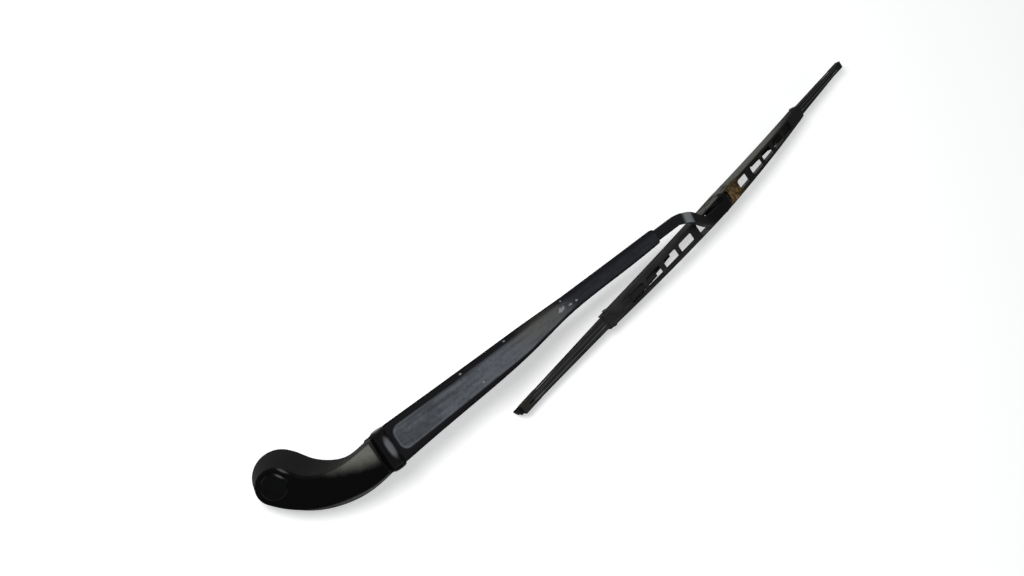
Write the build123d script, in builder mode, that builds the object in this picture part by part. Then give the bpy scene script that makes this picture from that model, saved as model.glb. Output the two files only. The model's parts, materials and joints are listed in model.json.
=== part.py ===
"""Car wiper arm with its bow-type blade, in the pose it takes off the car.

Sizes are millimetres. The origin is the centre of the spindle bore on the head's seat. X runs along the arm
towards the blade, Y to the arm's left and Z up from the arm's top face. The head leans back by fold_angle,
because off the car the spring folds the arm down onto its stop.
"""

import os
from math import atan2, cos, radians, sin

from build123d import *

os.makedirs("parts", exist_ok=True)

# Cast head
fold_angle = 20.0  # lean of the head against the arm
head_height = 22.5  # seat to crown
seat_radius = 16.9  # boss outline at the seat
crown_radius = 10.6  # boss outline at the crown
crown_round = 1.8
crown_thickness = 3.0
head_wall = 2.4
bore_radius = 5.0
bore_length = 12.0
nut_pocket_radius = 7.4
cap_skirt = 1.4
cap_depth = 5.0
cap_rise = 0.9  # cap above the crown
hinge_along = 64.0  # hinge axis from the spindle axis, in the head's own directions
hinge_side = -19.5
hinge_height = 18.5
shoulder_back = 6.8  # end face of the head behind the hinge axis
web_drop = 3.0  # valley between the head and its knuckle, below the hinge axis

# Hinge and spring
running_gap = 0.05  # turning shaft in its hole
side_gap = 0.35  # between faces that slide past each other
knuckle_radius = 4.8
hinge_pin_radius = 3.0
rivet_head = 1.0
spring_pin_back = 3.0  # from the hinge axis
spring_pin_down = 9.5
spring_pin_radius = 1.8
link_slot = 9.0
link_bar = 3.0
link_length = 23.0
link_bow = 6.0  # the link bows under the knuckle by this much
coil_radius = 4.0
wire_radius = 0.8
eye_radius = 3.6
coil_ridges = 18

# Pressed channel of the arm
channel_top = 5.3  # above the hinge axis
channel_half_width = 12.3
channel_start = 3.7  # rear edge of the top face, ahead of the hinge axis
channel_length = 249.0
channel_sheet = 1.1
shoulder_round = 2.6
right_steps = ((60.0, 2.8), (112.0, 5.8), (150.0, 10.2), (190.0, 11.4))  # along, set in from the widest
waist_along = 160.0  # the left side is slightly hollow here
waist_side = 11.3
tail_side = 11.7  # left side at the tail's end
tail_width = 11.7
crest_along = 72.0  # the top falls towards the tail from here
tail_top = 3.4
wall_drop = 8.5
tail_drop = 2.6
wall_taper = (119.0, 155.0)  # the side walls get lower between these
tab_along = 107.5  # small tab bent out of the right wall
tab_length = 7.0
tab_reach = 2.0
ear_radius = 5.9

# Flat rod with its hook
rod_width = 8.4
rod_thickness = 3.5
rod_headroom = 1.2  # under the tail's rounded inner corners
rod_start = 120.0
anchor_hole_radius = 1.6
anchor_margin = 2.4  # rod metal behind the hole
bend_along = 277.0  # sideways bend
bend_radius = 24.0
bend_run = 6.5  # flat bar after the bend, before it steps down and twists
step_sections = 5
pivot_along = 342.5  # blade pin from the hinge axis
pivot_side = -8.0
pivot_drop = 20.2
hook_lead = 18.5  # straight bar ahead of the pin
hook_tail = 9.0

# Blade
blade_yaw = 8.0
blade_roll = 7.0  # the twisted rod leans the blade to its right
pin_radius = 2.5
adapter_wall = 2.2  # plastic between the pin and the hook
adapter_cheek = 1.05
adapter_length = 14.0
yoke_half_length = 153.0
yoke_half_width = 8.4
yoke_end_half_width = 6.2
yoke_crown = 4.0  # top of the bow above the pin
yoke_arch = 10.0
yoke_depth = 10.5
yoke_end_depth = 7.0
yoke_sheet = 1.0
yoke_round = 2.0
hook_window = (-38.6, 9.2)
hook_window_width = 12.6
far_window = (25.0, 38.6)
window_width = 8.0
window_spans = ((47.0, 64.1), (68.1, 84.3), (89.0, 106.5), (110.0, 127.0))
lever_pivot = 147.0
lever_pivot_drop = 10.0
lever_inner = 92.0
lever_outer = 236.0
lever_inner_top = -4.8
lever_pivot_top = -7.1
lever_outer_top = -10.6
lever_bottom = -12.0
lever_half_width = 4.9
lever_inner_half_width = 4.0
lever_outer_half_width = 3.1
lever_sheet = 0.9
lever_round = 0.9
rib_span = (160.0, 226.0)  # pressed rib along the lever's top
rib_width = 1.8
rib_height = 0.5
lever_rivet_radius = 1.2
lever_bush_radius = 1.7
relief_span = (107.0, 136.0)  # lever wall cut back above the claw yoke
relief_top = -8.4
claw_yoke_centre = 98.0
claw_yoke_half_span = 32.0
claw_yoke_half_width = 2.9
claw_yoke_top = -7.0
claw_rivet_drop = 9.3
claw_rivet_radius = 1.0
claw_length = 8.0
tip_claw_length = 17.0
tip_claw_end = 246.5
tip_slot = (4.0, 1.4)
claw_sheet = 0.8
claw_mouth = 4.0
claw_round = 0.4
rubber_half_length = 243.5
rubber_top = -12.4
lip_depth = 23.0  # wiping edge below the pin
flexor_half_length = 241.0
flexor_outer = 2.5
flexor_inner = 0.9
flexor_thickness = 0.9
flexor_drop = 14.5

# Working planes, each named for what lies in it
lean = radians(fold_angle)
yaw = radians(blade_yaw)
roll = radians(blade_roll)
head_plan = Plane(origin=(0, 0, 0), x_dir=(cos(lean), 0, sin(lean)), z_dir=(-sin(lean), 0, cos(lean)))
hinge = head_plan.from_local_coords((hinge_along, hinge_side, hinge_height))
head_side = Plane(origin=hinge, x_dir=head_plan.x_dir, z_dir=(0, -1, 0))
arm_plan = Plane(origin=hinge, x_dir=(1, 0, 0), z_dir=(0, 0, 1))
arm_side = Plane(origin=hinge, x_dir=(1, 0, 0), z_dir=(0, -1, 0))
pivot = arm_plan.from_local_coords((pivot_along, pivot_side, -pivot_drop))
blade_up = (sin(roll) * sin(yaw), -sin(roll) * cos(yaw), cos(roll))
blade_plan = Plane(origin=pivot, x_dir=(cos(yaw), sin(yaw), 0), z_dir=blade_up)
blade_side = Plane(origin=pivot, x_dir=blade_plan.x_dir, z_dir=-blade_plan.y_dir)
blade_section = Plane(origin=pivot, x_dir=blade_plan.y_dir, z_dir=blade_plan.x_dir)

head_end = hinge_along - shoulder_back
knuckle_half = channel_half_width - channel_sheet - side_gap
rod_side = tail_side - tail_width / 2
rod_level = tail_top - channel_sheet - rod_headroom - rod_thickness / 2
hook_level = pin_radius + adapter_wall + rod_thickness / 2
reach = 400.0  # longer than any piece, for cuts that go right through


def save(part, name):
    """Label a finished piece and write its STEP file."""
    part.label = name
    export_step(part, f"parts/{name}.step")


def top_edges(form, up, shortest=30.0):
    """The long edges around the highest face of a pressed form."""
    return form.faces().sort_by(Axis((0, 0, 0), up))[-1].edges().filter_by(lambda edge: edge.length > shortest)


def pressed_form(plan_plane, side_plane, draw_plan, draw_side, inset, corner):
    """A plan outline and a side outline crossed into one solid, with its top edges rounded.

    The outer skin has no inset. The hollow that is taken out of it has the sheet's thickness as inset.
    """
    with BuildPart() as form:
        with BuildSketch(plan_plane.offset(-reach / 4)):
            draw_plan(inset)
        extrude(amount=reach / 2)
        with BuildSketch(side_plane):
            draw_side(inset)
        extrude(amount=reach / 4, both=True, mode=Mode.INTERSECT)
        if corner > inset:
            fillet(top_edges(form, plan_plane.z_dir), corner - inset)
    return form.part


def width_at(along, ends):
    """Half width of a tapered piece at one place, from (along, half width) at its two ends."""
    (first, first_width), (last, last_width) = ends
    share = (along - first) / (last - first)
    return first_width + share * (last_width - first_width)


# Cast head: lofted from its seat to its crown, hollow below, with a tongue for the hinge
def head_outline(radius, end_left, waist, neck, belly, flank, end_right, inset=0.0):
    """Boss arc at the rear, bellied right flank, square hinge end and waisted left flank."""
    boss = radius - inset
    end = head_end - inset
    left = (boss * cos(radians(44)), boss * sin(radians(44)))
    right = (boss * cos(radians(217)), boss * sin(radians(217)))
    end_low = (end, hinge_side + end_right + inset)
    end_high = (end, hinge_side + end_left - inset)
    with BuildLine() as outline:
        ThreePointArc(left, (-boss, 0), right)
        Spline(
            right,
            (belly[0], hinge_side + belly[1] + inset),
            (flank[0], hinge_side + flank[1] + inset),
            end_low,
            tangents=((cos(radians(307)), sin(radians(307))), (1, 0.2)),
        )
        Line(end_low, end_high)
        Spline(
            end_high,
            (waist[0], hinge_side + waist[1] - inset),
            (neck[0], hinge_side + neck[1] - inset),
            left,
            tangents=((-1, -0.1), (cos(radians(134)), sin(radians(134)))),
        )
    make_face(outline.edges())


def seat_outline():
    """Outline of the head where it sits on the car."""
    head_outline(seat_radius, 9.6, (36, 8.4), (21, 19.0), (9, -11.0), (33, -18.2), -16.2)


def crown_outline(inset=0.0):
    """Outline of the head's flat top."""
    head_outline(crown_radius, 10.2, (37, 8.6), (15, 16.6), (12, -4.4), (33, -11.4), -11.9, inset)


with BuildPart() as arm_head:
    with BuildSketch(head_plan):
        seat_outline()
    with BuildSketch(head_plan.offset(head_height)):
        crown_outline()
    loft()
    crown = arm_head.faces().sort_by(Axis((0, 0, 0), head_plan.z_dir))[-1]
    fillet(crown.edges(), crown_round)
    with BuildSketch(head_plan):
        crown_outline(head_wall)
        Circle(seat_radius - head_wall, mode=Mode.SUBTRACT)
    extrude(amount=head_height - crown_thickness, mode=Mode.SUBTRACT)
    with BuildSketch(head_side):
        Circle(knuckle_radius)
        with Locations((-spring_pin_back, -spring_pin_down)):
            Circle(2.2 * spring_pin_radius)
        with Locations((-shoulder_back - head_wall, -web_drop)):
            Rectangle(head_wall, spring_pin_down + 1 - web_drop, align=(Align.CENTER, Align.MAX))
        make_hull()
    extrude(amount=knuckle_half, both=True)
    with BuildSketch(head_side):
        with Locations((0, -knuckle_radius - side_gap)):
            Rectangle(2 * (shoulder_back + 2 * head_wall), head_height, align=(Align.CENTER, Align.MAX))
    extrude(amount=link_slot / 2, both=True, mode=Mode.SUBTRACT)
    with BuildSketch(head_side):
        Circle(hinge_pin_radius + running_gap)
        with Locations((-spring_pin_back, -spring_pin_down)):
            Circle(spring_pin_radius)
    extrude(amount=reach, both=True, mode=Mode.SUBTRACT)
    with BuildSketch(head_plan.offset(bore_length)):
        Circle(nut_pocket_radius)
    extrude(amount=head_height, mode=Mode.SUBTRACT)
    with BuildSketch(head_plan):
        Circle(bore_radius)
    extrude(amount=head_height, mode=Mode.SUBTRACT)
save(arm_head.part, "arm_head")

# Domed plastic cap that snaps into the nut pocket
with BuildPart() as nut_cap:
    cap_radius = nut_pocket_radius - running_gap
    with BuildSketch(head_plan.offset(head_height - cap_depth)):
        Circle(cap_radius)
    extrude(amount=cap_depth + cap_rise)
    fillet(nut_cap.edges().sort_by(Axis((0, 0, 0), head_plan.z_dir))[-1], 0.9 * cap_rise)
    with BuildSketch(head_plan.offset(head_height - cap_depth)):
        Circle(cap_radius - cap_skirt)
    extrude(amount=cap_depth + cap_rise - cap_skirt, mode=Mode.SUBTRACT)
save(nut_cap.part, "nut_cap")

# Cross pin that the spring link pulls on
with BuildPart() as spring_pin:
    with BuildSketch(head_side):
        with Locations((-spring_pin_back, -spring_pin_down)):
            Circle(spring_pin_radius)
    extrude(amount=knuckle_half - side_gap, both=True)
save(spring_pin.part, "spring_pin")


# Pressed arm channel: hollow left side, stepped right side, narrow tail around the rod
def channel_plan(inset):
    """Plan outline of the channel; the hollow runs out past both ends."""
    over = 1.0 if inset else 0.0
    left = channel_half_width - inset
    right = inset - channel_half_width
    rear = -ear_radius - 2 - over
    tail_end = channel_length + over
    tail_left = (tail_end, tail_side - inset)
    tail_right = (tail_end, tail_side - tail_width + inset)
    steps = [(along, right + set_in) for along, set_in in right_steps]
    with BuildLine() as outline:
        ThreePointArc(tail_left, (waist_along, waist_side - inset), (0, left))
        Polyline((0, left), (rear, left), (rear, right), (0, right))
        Spline((0, right), *steps, tail_right)
        Line(tail_right, tail_left)
    make_face(outline.edges())


def channel_side(inset):
    """Side outline of the channel; the hollow is open below."""
    over = 1.0 if inset else 0.0
    below = reach / 4 if inset else 0.0
    rear = -ear_radius - 2 - over
    tail_end = channel_length + over
    with BuildLine() as outline:
        Polyline(
            (rear, channel_top - inset),
            (crest_along, channel_top - inset),
            (tail_end, tail_top - inset),
            (tail_end, -tail_drop - below),
            (wall_taper[1], -tail_drop - below),
            (wall_taper[0], -wall_drop - below),
            (rear, -wall_drop - below),
            close=True,
        )
    make_face(outline.edges())


with BuildPart() as arm_channel:
    add(pressed_form(arm_plan, arm_side, channel_plan, channel_side, 0.0, shoulder_round))
    with BuildSketch(arm_side):
        Circle(ear_radius)
        with BuildLine():
            Polyline(
                (0, ear_radius),
                (reach, ear_radius),
                (reach, -wall_drop),
                (wall_drop, -wall_drop),
                (0, -ear_radius),
                close=True,
            )
        make_face()
    extrude(amount=reach, both=True, mode=Mode.INTERSECT)
    add(
        pressed_form(arm_plan, arm_side, channel_plan, channel_side, channel_sheet, shoulder_round),
        mode=Mode.SUBTRACT,
    )
    ear_inside = channel_half_width - channel_sheet
    with BuildSketch(arm_plan):
        with Locations((channel_start, 0)):
            Rectangle(2 * ear_radius + channel_start, 2 * ear_inside, align=(Align.MAX, Align.CENTER))
    extrude(amount=2 * channel_top, mode=Mode.SUBTRACT)
    with BuildSketch(arm_side):
        Circle(hinge_pin_radius)
    extrude(amount=reach, both=True, mode=Mode.SUBTRACT)
    tab_side = width_at(tab_along, right_steps[:2]) - channel_half_width - tab_reach
    with BuildSketch(arm_plan.offset(-wall_drop)):
        with Locations((tab_along, tab_side)):
            Rectangle(tab_length, tab_reach + channel_sheet, align=(Align.CENTER, Align.MIN))
    extrude(amount=channel_sheet)
save(arm_channel.part, "arm_channel")

# Hinge rivet, headed outside both ears
with BuildPart() as hinge_pin:
    with BuildSketch(arm_side):
        Circle(hinge_pin_radius)
    extrude(amount=channel_half_width, both=True)
    for face in (arm_side.offset(channel_half_width), arm_side.offset(-channel_half_width - rivet_head)):
        with BuildSketch(face):
            Circle(1.45 * hinge_pin_radius)
        extrude(amount=rivet_head)
    rims = hinge_pin.edges().filter_by(GeomType.CIRCLE).group_by(Axis.Y)
    fillet(rims[0] + rims[-1], 0.7 * rivet_head)
save(hinge_pin.part, "hinge_pin")

# Flat rod: bent sideways, stepped down with a twist, and hooked round the adapter in the blade's own plane
anchor_along = rod_start + anchor_hole_radius + anchor_margin
hook_start = blade_plan.from_local_coords((-hook_lead, 0, hook_level))
bend = arm_plan.from_local_coords((bend_along, rod_side, rod_level))
level_run = Vector(hook_start.X - bend.X, hook_start.Y - bend.Y, 0).normalized()
step_start = bend + level_run * bend_run
with BuildLine() as step_line:
    step_path = Spline(step_start, hook_start, tangents=(level_run, blade_plan.x_dir))
with BuildPart() as arm_rod:
    with BuildSketch(arm_plan.offset(rod_level - rod_thickness / 2)):
        with BuildLine():
            FilletPolyline(
                (rod_start, rod_side),
                (bend_along, rod_side),
                (step_start.X - hinge.X, step_start.Y - hinge.Y),
                radius=bend_radius,
            )
        trace(line_width=rod_width)
    extrude(amount=rod_thickness)
    for section in range(step_sections):
        share = section / (step_sections - 1)
        across = arm_plan.y_dir * (1 - share) + blade_plan.y_dir * share
        with BuildSketch(Plane(origin=step_path @ share, x_dir=across, z_dir=step_path % share)):
            Rectangle(rod_width, rod_thickness)
    loft()
    with BuildSketch(blade_side):
        with BuildLine():
            Line((-hook_tail, -hook_level), (0, -hook_level))
            ThreePointArc((0, -hook_level), (hook_level, 0), (0, hook_level))
            Line((0, hook_level), (-hook_lead, hook_level))
        trace(line_width=rod_thickness)
    extrude(amount=rod_width / 2, both=True)
    with BuildSketch(arm_plan):
        with Locations((anchor_along, rod_side)):
            Circle(anchor_hole_radius)
    extrude(amount=reach, both=True, mode=Mode.SUBTRACT)
save(arm_rod.part, "arm_rod")

# Spring line: from the head's cross pin to the hole in the rod
pin_centre = head_side.from_local_coords((-spring_pin_back, -spring_pin_down, 0))

anchor = arm_plan.from_local_coords((anchor_along, rod_side, rod_level))
link_pitch = atan2(anchor.Z - pin_centre.Z, anchor.X - pin_centre.X)
link_plane = Plane(origin=pin_centre, x_dir=(cos(link_pitch), 0, sin(link_pitch)), z_dir=(0, -1, 0))

# C-shaped link that bows under the knuckle
with BuildPart() as spring_link:
    with BuildSketch(link_plane):
        with BuildLine():
            FilletPolyline(
                (0, 0),
                (0.2 * link_length, -link_bow),
                (0.7 * link_length, -link_bow),
                (link_length, 0),
                radius=2 * link_bar / 3,
            )
        trace(line_width=link_bar)
        Circle(2 * spring_pin_radius)
        with Locations((link_length, 0)):
            Circle(link_bar)
        Circle(spring_pin_radius + running_gap, mode=Mode.SUBTRACT)
        with Locations((link_length, 0)):
            Circle(link_bar / 2, mode=Mode.SUBTRACT)
    extrude(amount=link_bar / 2, both=True)
save(spring_link.part, "spring_link")

# Close-wound spring: a ridged tube with an eye at each end, the two eyes at right angles
spring_start = link_plane.from_local_coords((link_length, 0, 0))
spring_length = (anchor - spring_start).length
spring_axis = (anchor - spring_start).normalized()
spring_side = Plane(origin=spring_start, x_dir=spring_axis, z_dir=spring_axis.cross(Vector(0, 0, 1)))
with BuildPart() as tension_spring:
    coil_start = 2 * eye_radius
    coil_end = spring_length - 2 * eye_radius
    pitch = (coil_end - coil_start) / coil_ridges
    root = coil_radius - wire_radius
    inner = coil_radius - 2 * wire_radius
    with BuildSketch(spring_side):
        with BuildLine():
            ridge = [(coil_start, 0), (coil_start, root)]
            for turn in range(coil_ridges):
                ridge.append((coil_start + (turn + 0.5) * pitch, coil_radius))
                ridge.append((coil_start + (turn + 1) * pitch, root))
            ridge += [(coil_end, 0), (coil_end - pitch, 0), (coil_end - pitch, inner)]
            ridge += [(coil_start + pitch, inner), (coil_start + pitch, 0)]
            Polyline(*ridge, close=True)
        make_face()
    revolve(axis=Axis(spring_start, spring_axis))
    link_eye = spring_start + spring_axis * eye_radius
    rod_eye = anchor - spring_axis * eye_radius
    with Locations(Plane(origin=link_eye, x_dir=spring_axis, z_dir=spring_side.y_dir)):
        Torus(eye_radius, wire_radius)
    with Locations(Plane(origin=rod_eye, x_dir=spring_axis, z_dir=spring_side.z_dir)):
        Torus(eye_radius, wire_radius)
save(tension_spring.part, "tension_spring")

# Plastic adapter inside the hook, with cheeks beside it and a snap-in mouth for the pin
with BuildPart() as adapter_clip:
    core = pin_radius + adapter_wall - running_gap
    cheek = core + 0.7 * rod_thickness
    with BuildSketch(blade_side):
        Circle(core)
        Rectangle(adapter_length, 2 * core, align=(Align.MAX, Align.CENTER))
    extrude(amount=rod_width / 2 + running_gap, both=True)
    for start in (rod_width / 2 + running_gap, -rod_width / 2 - running_gap - adapter_cheek):
        with BuildSketch(blade_side.offset(start)):
            Circle(cheek)
            Rectangle(adapter_length, 2 * cheek, align=(Align.MAX, Align.CENTER))
        extrude(amount=adapter_cheek)
    with BuildSketch(blade_side):
        Circle(pin_radius + running_gap)
        Rectangle(1.7 * pin_radius, reach, align=(Align.CENTER, Align.MAX))
    extrude(amount=reach, both=True, mode=Mode.SUBTRACT)
save(adapter_clip.part, "adapter_clip")


# Main yoke: the arched bow with windows in its top face
def yoke_plan(inset):
    """Plan outline of the bow, widest at the pin."""
    over = 1.0 if inset else 0.0
    end = yoke_half_length + over
    wide = yoke_half_width - inset
    narrow = yoke_end_half_width - inset
    with BuildLine() as outline:
        Polyline(
            (-end, -narrow), (0, -wide), (end, -narrow), (end, narrow), (0, wide), (-end, narrow), close=True
        )
    make_face(outline.edges())


def yoke_side(inset):
    """Side outline of the bow; the hollow is open below."""
    end = yoke_half_length
    top = yoke_crown - inset
    low = yoke_crown - yoke_depth
    low_end = yoke_crown - yoke_arch - yoke_end_depth
    below = reach / 4 if inset else 0.0
    with BuildLine() as outline:
        ThreePointArc((-end, top - yoke_arch), (0, top), (end, top - yoke_arch))
        Line((end, top - yoke_arch), (end, low_end - below))
        ThreePointArc((end, low_end - below), (0, low - below), (-end, low_end - below))
        Line((-end, low_end - below), (-end, top - yoke_arch))
    make_face(outline.edges())


with BuildPart() as main_yoke:
    add(pressed_form(blade_plan, blade_side, yoke_plan, yoke_side, 0.0, yoke_round))
    add(pressed_form(blade_plan, blade_side, yoke_plan, yoke_side, yoke_sheet, yoke_round), mode=Mode.SUBTRACT)
    with BuildSketch(blade_plan):
        with Locations((sum(hook_window) / 2, 0)):
            RectangleRounded(hook_window[1] - hook_window[0], hook_window_width, 3)
        with Locations((sum(far_window) / 2, 0)):
            RectangleRounded(far_window[1] - far_window[0], window_width, 2)
        for begin, finish in window_spans:
            with Locations(((begin + finish) / 2, 0), (-(begin + finish) / 2, 0)):
                RectangleRounded(finish - begin, window_width, 2)
    extrude(amount=reach, both=True, mode=Mode.SUBTRACT)
    with BuildSketch(blade_side):
        Circle(pin_radius)
        with Locations((lever_pivot, -lever_pivot_drop), (-lever_pivot, -lever_pivot_drop)):
            Circle(lever_rivet_radius)
    extrude(amount=reach, both=True, mode=Mode.SUBTRACT)
save(main_yoke.part, "main_yoke")

with BuildPart() as pivot_pin:
    with BuildSketch(blade_side):
        Circle(pin_radius)
    extrude(amount=yoke_half_width + 0.4, both=True)
    chamfer(pivot_pin.edges().filter_by(GeomType.CIRCLE), 0.3)
save(pivot_pin.part, "pivot_pin")


def claw(centre, length=claw_length):
    """A claw wrapped around the flexor strips, added to the part in hand."""
    inside = flexor_outer + 3 * running_gap
    plate = rubber_top + side_gap
    lip = -flexor_drop - flexor_thickness / 2 - side_gap
    with BuildSketch(blade_section.offset(centre - length / 2)) as section:
        with Locations((0, plate + claw_sheet)):
            Rectangle(2 * (inside + claw_sheet), plate + 2 * claw_sheet - lip, align=(Align.CENTER, Align.MAX))
        with Locations((0, plate)):
            Rectangle(2 * inside, plate - lip, align=(Align.CENTER, Align.MAX), mode=Mode.SUBTRACT)
            Rectangle(claw_mouth, reach, align=(Align.CENTER, Align.MAX), mode=Mode.SUBTRACT)
    extrude(section.sketch, amount=length)


def rivet(along, drop, radius, half_grip):
    """A round rivet across the blade, headed at both ends."""
    with BuildPart() as body:
        with BuildSketch(blade_side):
            with Locations((along, -drop)):
                Circle(radius)
        extrude(amount=half_grip + running_gap, both=True)
        for start in (half_grip + running_gap, -half_grip - running_gap - rivet_head):
            with BuildSketch(blade_side.offset(start)):
                with Locations((along, -drop)):
                    Circle(1.8 * radius)
            extrude(amount=rivet_head)
    return body.part


yoke_taper = ((0, yoke_half_width), (yoke_half_length, yoke_end_half_width))
lever_taper = ((lever_inner, lever_inner_half_width), (lever_pivot, lever_half_width))

# The two ends of the blade, near the head and far from it
for side, sign in (("near", -1), ("far", 1)):
    save(
        rivet(sign * lever_pivot, lever_pivot_drop, lever_rivet_radius, width_at(lever_pivot, yoke_taper)),
        f"lever_rivet_{side}",
    )

    def lever_plan(inset):
        """Plan outline of a lever, widest at its rivet."""
        over = 1.0 if inset else 0.0
        with BuildLine() as outline:
            Polyline(
                (sign * (lever_inner - over), inset - lever_inner_half_width),
                (sign * lever_pivot, inset - lever_half_width),
                (sign * (lever_outer + over), inset - lever_outer_half_width),
                (sign * (lever_outer + over), lever_outer_half_width - inset),
                (sign * lever_pivot, lever_half_width - inset),
                (sign * (lever_inner - over), lever_inner_half_width - inset),
                close=True,
            )
        make_face(outline.edges())

    def lever_side(inset):
        """Side outline of a lever; the hollow is open below."""
        over = 1.0 if inset else 0.0
        low = lever_bottom - reach / 8
        inner = sign * (lever_inner - over)
        outer = sign * (lever_outer + over)
        inner_end = (inner, lever_inner_top - inset)
        outer_end = (outer, lever_outer_top - inset)
        with BuildLine() as outline:
            ThreePointArc(inner_end, (sign * lever_pivot, lever_pivot_top - inset), outer_end)
            Polyline(outer_end, (outer, low), (inner, low), inner_end)
        make_face(outline.edges())

    def rib_plan(inset):
        """Plan outline of the rib along a lever's top."""
        with Locations((sign * sum(rib_span) / 2, 0)):
            SlotOverall(rib_span[1] - rib_span[0], rib_width)

    with BuildPart() as lever:
        add(pressed_form(blade_plan, blade_side, lever_plan, lever_side, 0.0, lever_round))
        add(pressed_form(blade_plan, blade_side, rib_plan, lever_side, -rib_height, 0.0))
        add(
            pressed_form(blade_plan, blade_side, lever_plan, lever_side, lever_sheet, lever_round),
            mode=Mode.SUBTRACT,
        )
        with BuildSketch(blade_side):
            with Locations((sign * sum(relief_span) / 2, relief_top)):
                Rectangle(relief_span[1] - relief_span[0], reach, align=(Align.CENTER, Align.MAX))
            with Locations((0, lever_bottom)):
                Rectangle(2 * reach, reach, align=(Align.CENTER, Align.MAX))
        extrude(amount=reach, both=True, mode=Mode.SUBTRACT)
        claw(sign * (tip_claw_end - tip_claw_length / 2), tip_claw_length)
        with BuildSketch(blade_side):
            with Locations((sign * lever_pivot, -lever_pivot_drop)):
                Circle(lever_rivet_radius + running_gap)
            with Locations((sign * claw_yoke_centre, -claw_rivet_drop)):
                Circle(claw_rivet_radius)
        extrude(amount=reach, both=True, mode=Mode.SUBTRACT)
        with BuildSketch(blade_plan):
            with Locations((sign * (tip_claw_end - tip_claw_length / 2), 0)):
                Rectangle(*tip_slot)
        extrude(amount=reach, both=True, mode=Mode.SUBTRACT)
    save(lever.part, f"secondary_lever_{side}")

    with BuildPart() as bush:
        with BuildSketch(blade_side):
            with Locations((sign * lever_pivot, -lever_pivot_drop)):
                Circle(lever_bush_radius)
                Circle(lever_rivet_radius + running_gap, mode=Mode.SUBTRACT)
        extrude(amount=lever_half_width - lever_sheet - running_gap, both=True)
    save(bush.part, f"lever_bush_{side}")

    grip = width_at(claw_yoke_centre, lever_taper)
    save(rivet(sign * claw_yoke_centre, claw_rivet_drop, claw_rivet_radius, grip), f"claw_rivet_{side}")

    # Claw yoke: a small arched form that carries two inner claws
    def claw_yoke_plan(inset):
        """Plan outline of a claw yoke."""
        with Locations((sign * claw_yoke_centre, 0)):
            Rectangle(2 * (claw_yoke_half_span + inset), 2 * (claw_yoke_half_width - inset))

    def claw_yoke_side(inset):
        """Side outline of a claw yoke; the hollow is open below."""
        low = rubber_top - reach / 8
        end_top = rubber_top + side_gap + 1.4 * claw_sheet - inset
        first = sign * claw_yoke_centre - claw_yoke_half_span
        last = sign * claw_yoke_centre + claw_yoke_half_span
        with BuildLine() as outline:
            ThreePointArc((first, end_top), (sign * claw_yoke_centre, claw_yoke_top - inset), (last, end_top))
            Polyline((last, end_top), (last, low), (first, low), (first, end_top))
        make_face(outline.edges())

    with BuildPart() as claw_yoke:
        add(pressed_form(blade_plan, blade_side, claw_yoke_plan, claw_yoke_side, 0.0, claw_round))
        add(
            pressed_form(blade_plan, blade_side, claw_yoke_plan, claw_yoke_side, claw_sheet, claw_round),
            mode=Mode.SUBTRACT,
        )
        with BuildSketch(blade_side):
            with Locations((0, rubber_top + side_gap + claw_sheet / 2)):
                Rectangle(2 * reach, reach, align=(Align.CENTER, Align.MAX))
        extrude(amount=reach, both=True, mode=Mode.SUBTRACT)
        for end in (-1, 1):
            claw(sign * claw_yoke_centre + end * (claw_yoke_half_span - claw_length / 2))
        with BuildSketch(blade_side):
            with Locations((sign * claw_yoke_centre, -claw_rivet_drop)):
                Circle(claw_rivet_radius + running_gap)
        extrude(amount=reach, both=True, mode=Mode.SUBTRACT)
    save(claw_yoke.part, f"claw_yoke_{side}")

# Rubber strip with grooves for the two flexor strips
with BuildPart() as wiper_rubber:
    groove_top = -flexor_drop + flexor_thickness / 2
    groove_low = -flexor_drop - flexor_thickness / 2
    half = [
        (2.0, rubber_top),
        (2.0, groove_top),
        (flexor_inner, groove_top),
        (flexor_inner, groove_low),
        (1.7, groove_low),
        (1.7, groove_low - 1.5),
        (0.6, groove_low - 1.7),
        (0.6, groove_low - 2.6),
        (2.3, groove_low - 3.0),
        (2.1, groove_low - 3.9),
        (0.35, -lip_depth),
    ]
    with BuildSketch(blade_section):
        with BuildLine():
            Polyline(*half, *((-x, y) for x, y in reversed(half)), close=True)
        make_face()
    extrude(amount=rubber_half_length, both=True)
save(wiper_rubber.part, "wiper_rubber")

for side, sign in (("left", 1), ("right", -1)):
    with BuildPart() as flexor_strip:
        with BuildSketch(blade_section):
            with Locations((sign * (flexor_inner + flexor_outer) / 2, -flexor_drop)):
                Rectangle(flexor_outer - flexor_inner, flexor_thickness)
        extrude(amount=flexor_half_length, both=True)
    save(flexor_strip.part, f"flexor_strip_{side}")
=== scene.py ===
# %% [markdown]
# # A used wiper arm with its blade
# The CAD model gives every rigid piece its true shape. This lesson dresses those pieces: painted metal,
# moulded plastic, rubber and bare steel, with the dust, chips and rust that years on a car leave behind.
# Lengths are in metres, and the frame is the CAD's own: the spindle bore at the origin, +X along the arm,
# +Z up.

# %% Load the frame
import json
from math import asin, atan2, cos, degrees, pi, radians, sin, tau

import bmesh
import bpy
from mathutils import Euler, Matrix, Vector


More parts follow.
